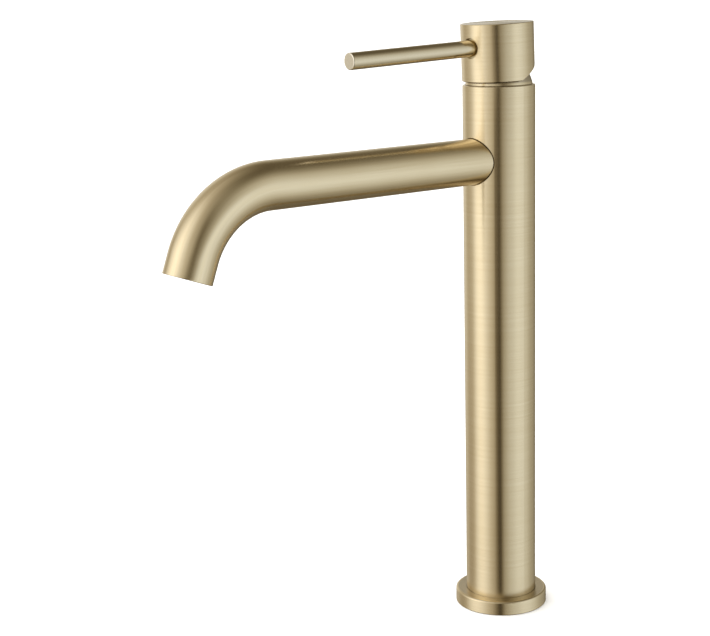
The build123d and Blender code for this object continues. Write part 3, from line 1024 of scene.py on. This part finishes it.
@dataclass
class Waterways:
    """Foot block, risers, valve block and the cut threads that show from below."""

    inlet_offset: float = 9.0 * MM
    inlet_radius: float = 4.5 * MM
    inlet_depth: float = 10.0 * MM
    stud_offset: float = 11.5 * MM
    stud_radius: float = 2.5 * MM
    stud_depth: float = 12.0 * MM
    pitch: float = 1.0 * MM
    crest_share: float = 0.45
    lead: float = 0.6 * MM
    turn_steps: int = 40
    tooth_sides: int = 4
    body: str = BODY
    brass: MachinedMetal = MachinedMetal("bare_brass", (0.82, 0.66, 0.36), (0.66, 0.50, 0.24))
    copper: MachinedMetal = MachinedMetal("drawn_copper", (0.86, 0.52, 0.36), (0.68, 0.36, 0.24),
                                          roughness=0.32, pitch=2.0 * MM)
    rubber: Moulded = Moulded("seal_rubber", RUBBER_LIGHT, RUBBER_DEEP,
                              roughness=0.7, skin=900.0, relief=0.3)

    def thread_tree(self) -> GeometryTree:
        """Tree that winds a thread's crest inside each hole.

        Returns:
            The tree.
        """
        tree = GeometryTree("hole_threads", {
            "Turns": "NodeSocketFloat", "Wall Radius": "NodeSocketFloat", "Depth": "NodeSocketFloat",
            "Crest": "NodeSocketFloat", "Material": "NodeSocketMaterial",
        })
        helix = tree.add("GeometryNodeCurveSpiral", inputs={
            "Resolution": self.turn_steps, "Rotations": tree.given("Turns"), "Height": tree.given("Depth"),
            "Start Radius": tree.given("Wall Radius"), "End Radius": tree.given("Wall Radius"),
        })
        tooth = tree.circle(self.tooth_sides, tree.given("Crest"))
        crest = tree.add("GeometryNodeCurveToMesh",
                         inputs={"Curve": helix, "Profile Curve": tooth, "Fill Caps": True})
        points = tree.add("GeometryNodeMeshToPoints", inputs={"Mesh": tree.given("Geometry")})
        tree.close(tree.add("GeometryNodeInstanceOnPoints", inputs={"Points": points, "Instance": crest}))
        return tree

    def build_threads(self) -> list[bpy.types.Object]:
        """Winds the inlet threads and the stud threads.

        Returns:
            The two thread pieces.
        """
        tree = self.thread_tree()
        brass = self.brass.material()
        crest = self.crest_share * self.pitch
        inlets = [(side * self.inlet_offset, 0, self.lead) for side in (-1, 1)]
        studs = [(0, side * self.stud_offset, self.lead) for side in (-1, 1)]
        kinds = {
            "inlet_threads": (inlets, self.inlet_radius, self.inlet_depth),
            "stud_threads": (studs, self.stud_radius, self.stud_depth),
        }
        made = []
        for name, (spots, radius, depth) in kinds.items():
            run = depth - 2 * self.lead
            values = {"Turns": run / self.pitch, "Wall Radius": radius, "Depth": run, "Crest": crest}
            piece = tree.make(name, polyline(name, spots, False), values, brass)
            shade(piece)
            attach(piece, self.body)
            made.append(piece)
        return made

    def dress(self) -> None:
        """Gives the inner water parts their finish."""
        dress(self.brass.material(), "foot_block", "valve_block", "spout_insert", "retaining_nut",
              "lever_stem")
        dress(self.copper.material(), "hot_riser", "cold_riser")
        dress(self.rubber.material(), "foot_seals", "block_seals", "spout_seal", "port_seals")


@dataclass
class Cartridge:
    """Ceramic-disc cartridge under the head."""

    white: Moulded = Moulded("shell_plastic", (0.86, 0.86, 0.84), (0.76, 0.76, 0.74),
                             roughness=0.45, skin=650.0, relief=0.12)
    grey: Moulded = Moulded("driver_plastic", (0.36, 0.37, 0.39), (0.26, 0.27, 0.29),
                            roughness=0.45, skin=700.0, relief=0.14)
    ceramic: Moulded = Moulded("lapped_ceramic", (0.90, 0.89, 0.86), (0.82, 0.81, 0.78),
                               roughness=0.2, skin=400.0, relief=0.02, coat=0.3)
    steel: MachinedMetal = MachinedMetal("pin_steel", (0.62, 0.62, 0.63), (0.50, 0.50, 0.51),
                                         roughness=0.25)

    def dress(self) -> None:
        """Gives the cartridge's nodes their finish."""
        dress(self.white.material(), "cartridge_housing", "cartridge_base")
        dress(self.grey.material(), "turning_sleeve", "disc_carrier", "glide_ring")
        dress(self.ceramic.material(), "fixed_disc", "moving_disc")
        dress(self.steel.material(), "pivot_pin")


@dataclass(frozen=True)
class Softbox:
    """One round soft light in the studio's surround, in degrees, with bearing 0 on the camera's side."""

    bearing: float
    rise: float
    radius: float
    level: float

    def aim(self, camera_bearing: float) -> Vector:
        """Direction from the object to the middle of the light.

        Args:
            camera_bearing: Camera's bearing in radians.

        Returns:
            The unit direction.
        """
        turn = camera_bearing + math.radians(self.bearing)
        rise = math.radians(self.rise)
        return Vector((math.sin(turn) * math.cos(rise), -math.cos(turn) * math.cos(rise), math.sin(rise)))


@dataclass(frozen=True)
class Gap:
    """Dark slot between two soft lights, in degrees, with the share of light left in its middle."""

    bearing: float
    left: float
    right: float
    depth: float
    curve: float = 0.75


@dataclass
class Studio:
    """Pale floor, soft surround, top light and the camera."""

    bearing: float = math.radians(48.22)
    distance: float = 880.1 * MM
    height: float = 359.98 * MM
    pitch: float = math.radians(12.19)
    yaw: float = math.radians(-5.344)
    roll: float = math.radians(-1.379)
    lens: float = 80.306
    sensor: float = 36.0
    nearest: float = 0.01
    farthest: float = 200.0
    floor_radius: float = 60.0
    floor_sides: int = 96
    floor_drop: float = 0.2 * MM
    sun_power: float = 4.2
    sun_spread: float = math.radians(110.0)
    sun_turn: Triple = (math.radians(14.0), math.radians(-10.0), 0.0)
    fill: float = 0.115
    core: float = 0.08
    below_ends: tuple[float, float] = (3.0, 16.0)
    above_starts: tuple[float, float] = (-4.0, 3.0)
    above_ends: tuple[float, float] = (25.0, 70.0)
    cast_reach: float = 0.6
    gap_below: Gap = Gap(bearing=-1.0, left=21.5, right=16.0, depth=0.06)
    gap_above: Gap = Gap(bearing=15.0, left=22.5, right=70.0, depth=0.24)
    boxes: tuple[Softbox, ...] = (
        Softbox(bearing=-64.0, rise=6.0, radius=70.0, level=1.23),
        Softbox(bearing=41.0, rise=11.0, radius=85.0, level=0.57),
        Softbox(bearing=70.0, rise=-28.0, radius=56.0, level=0.23),
        Softbox(bearing=-77.0, rise=67.0, radius=55.0, level=0.45),
        Softbox(bearing=-147.0, rise=7.0, radius=59.0, level=0.64),
        Softbox(bearing=111.0, rise=-5.0, radius=80.0, level=0.34),
        Softbox(bearing=30.0, rise=-8.0, radius=18.0, level=0.14),
        Softbox(bearing=180.0, rise=8.0, radius=24.0, level=0.25),
        Softbox(bearing=56.0, rise=2.0, radius=28.0, level=0.13),
    )
    flags: tuple[Softbox, ...] = (
        Softbox(bearing=70.0, rise=74.0, radius=51.0, level=0.48),
        Softbox(bearing=-36.0, rise=3.0, radius=28.0, level=0.29),
        Softbox(bearing=-98.0, rise=-8.0, radius=25.0, level=0.26),
        Softbox(bearing=164.0, rise=-8.0, radius=37.0, level=0.2),
        Softbox(bearing=-122.0, rise=8.0, radius=26.0, level=0.35),
        Softbox(bearing=-13.0, rise=0.0, radius=11.0, level=0.45),
    )
    tones: tuple[tuple[float, Triple], ...] = (
        (0.0, (1.0, 0.70, 0.365)),
        (0.22, (1.0, 0.845, 0.636)),
        (0.48, (1.0, 0.915, 0.805)),
        (0.85, (1.0, 0.985, 1.017)),
    )
    warm_side: Triple = (1.0, 1.0, 0.942)
    cool_side: Triple = (0.934, 1.0, 1.017)
    backdrop: Triple = (1.0, 1.0, 1.0)

    def camera(self) -> bpy.types.Object:
        """Places the camera at the photograph's station.

        Returns:
            The camera.
        """
        turn = Matrix.Rotation(self.bearing, 3, "Z")
        level = math.cos(self.pitch)
        side, front = math.sin(self.yaw) * level, math.cos(self.yaw) * level
        ahead = turn @ Vector((side, front, -math.sin(self.pitch)))
        right = turn @ Vector((math.cos(self.yaw), -math.sin(self.yaw), 0.0))
        up = right.cross(ahead)
        across = math.cos(self.roll) * right + math.sin(self.roll) * up
        above = math.cos(self.roll) * up - math.sin(self.roll) * right
        data = bpy.data.cameras.new("photo_camera")
        data.lens = self.lens
        data.sensor_width = self.sensor
        data.clip_start = self.nearest
        data.clip_end = self.farthest
        camera = bpy.data.objects.new("photo_camera", data)
        bpy.context.scene.collection.objects.link(camera)
        place = Matrix((across, above, -ahead)).transposed().to_4x4()
        place.translation = turn @ Vector((0.0, -self.distance, self.height))
        camera.matrix_world = place
        bpy.context.scene.camera = camera
        return camera

    def off_axis(self, tree: ShaderTree, where: bpy.types.NodeSocket, box: Softbox) -> Signal:
        """Angle between a direction of the surround and the middle of a light.

        Args:
            tree: The world's tree.
            where: Direction that is looked at.
            box: The light.

        Returns:
            The angle in degrees.
        """
        facing = tree.value("ShaderNodeVectorMath", {"operation": "DOT_PRODUCT"},
                            {0: where, 1: box.aim(self.bearing)}, "Value")
        return tree.math("ARCCOSINE", facing) * DEGREES

    @staticmethod
    def slot(tree: ShaderTree, turn: Signal, gap: Gap, depth: Signal) -> Signal:
        """Share of the light that a dark slot leaves.

        Args:
            tree: The world's tree.
            turn: Bearing that is looked at, in degrees.
            gap: The slot.
            depth: Share left in its middle.

        Returns:
            The share, 1 outside the slot.
        """
        off = turn - gap.bearing
        away = tree.math("MAXIMUM", off / gap.right, off / -gap.left)
        open_share = tree.smooth(away, 0.0, 1.0) ** gap.curve
        return depth + (1.0 - depth) * open_share

    def surround(self) -> None:
        """Fills the world with soft lights, flags that dim them and two dark slots."""
        world = bpy.data.worlds.new("studio_surround")
        bpy.context.scene.world = world
        tree = ShaderTree(world)
        where = tree.add("ShaderNodeTexCoord").outputs["Generated"]
        node = tree.add("ShaderNodeSeparateXYZ", inputs={0: where})
        x, y, z = (Signal(tree, s) for s in node.outputs)
        sine, cosine = math.sin(self.bearing), math.cos(self.bearing)
        front = x * sine - y * cosine
        side = x * cosine + y * sine
        turn = tree.math("ARCTAN2", side, front) * DEGREES
        rise = tree.math("ARCSINE", z) * DEGREES
        level: Signal | float = self.fill
        for box in self.boxes:
            away = self.off_axis(tree, where, box)
            level = level + tree.smooth(away, self.core * box.radius, box.radius, box.level, 0.0)
        for flag in self.flags:
            away = self.off_axis(tree, where, flag)
            level = level * tree.smooth(away, 0.0, flag.radius, 1.0 - flag.level, 1.0)
        low_depth = tree.smooth(rise, *self.below_ends, self.gap_below.depth, 1.0)
        level = level * self.slot(tree, turn, self.gap_below, low_depth)
        high_depth = tree.smooth(rise, *self.above_starts, 1.0, self.gap_above.depth)
        high_depth = tree.smooth(rise, *self.above_ends, high_depth, 1.0)
        level = level * self.slot(tree, turn, self.gap_above, high_depth)
        tone = tree.value("ShaderNodeValToRGB", {"stops": self.tones}, {"Fac": level}, "Color")
        across = tree.smooth(side, -self.cast_reach, self.cast_reach)
        cast = tree.tint(across, self.warm_side, self.cool_side)
        colour = tree.value("ShaderNodeVectorMath", {"operation": "MULTIPLY"}, {0: tone, 1: cast})
        lit = tree.add("ShaderNodeBackground", inputs={"Color": colour, "Strength": level})
        seen = tree.add("ShaderNodeBackground", inputs={"Color": (*self.backdrop, 1.0), "Strength": 1.0})
        rays = tree.add("ShaderNodeLightPath")
        both = tree.add("ShaderNodeMixShader", inputs={
            0: rays.outputs["Is Camera Ray"], 1: lit.outputs[0], 2: seen.outputs[0],
        })
        tree.add("ShaderNodeOutputWorld", inputs={"Surface": both.outputs[0]})

    def floor(self) -> bpy.types.Object:
        """Lays the pale floor, which the metal doesn't mirror.

        Returns:
            The floor.
        """
        mesh = bpy.data.meshes.new("studio_floor")
        points = []
        for step in range(self.floor_sides):
            turn = 2.0 * math.pi * step / self.floor_sides
            x, y = self.floor_radius * math.cos(turn), self.floor_radius * math.sin(turn)
            points.append((x, y, -self.floor_drop))
        mesh.from_pydata(points, [], [list(range(self.floor_sides))])
        mesh.materials.append(PaleFloor().material())
        floor = bpy.data.objects.new("studio_floor", mesh)
        bpy.context.scene.collection.objects.link(floor)
        floor.visible_glossy = False
        return floor

    def top_light(self) -> bpy.types.Object:
        """Hangs the broad light that brightens the floor and leaves a soft shadow.

        Returns:
            The light.
        """
        data = bpy.data.lights.new("top_light", "SUN")
        data.energy = self.sun_power
        data.angle = self.sun_spread
        light = bpy.data.objects.new("top_light", data)
        bpy.context.scene.collection.objects.link(light)
        light.rotation_euler = self.sun_turn
        light.visible_glossy = False
        return light

    def build(self) -> None:
        """Sets the stage and reports each piece of it."""
        bpy.context.scene.view_settings.view_transform = "Standard"
        self.surround()
        for piece in (self.camera(), self.floor(), self.top_light()):
            log.info("set up %s", piece.name)


def main() -> None:
    """Builds every sub-assembly in order and reports each piece."""
    logging.basicConfig(level=logging.INFO, format="%(name)s: %(message)s")
    Studio().build()
    Pedestal().dress()
    spout = Spout()
    spout.dress()
    log.info("swept %s", spout.build_tube().name)
    log.info("set %s", spout.build_screen().name)
    handle = Handle()
    handle.dress()
    log.info("lined the recess with %s", handle.build_bush().name)
    waterways = Waterways()
    waterways.dress()
    for piece in waterways.build_threads():
        log.info("wound %s", piece.name)
    Cartridge().dress()


if __name__ == "__main__":
    main()
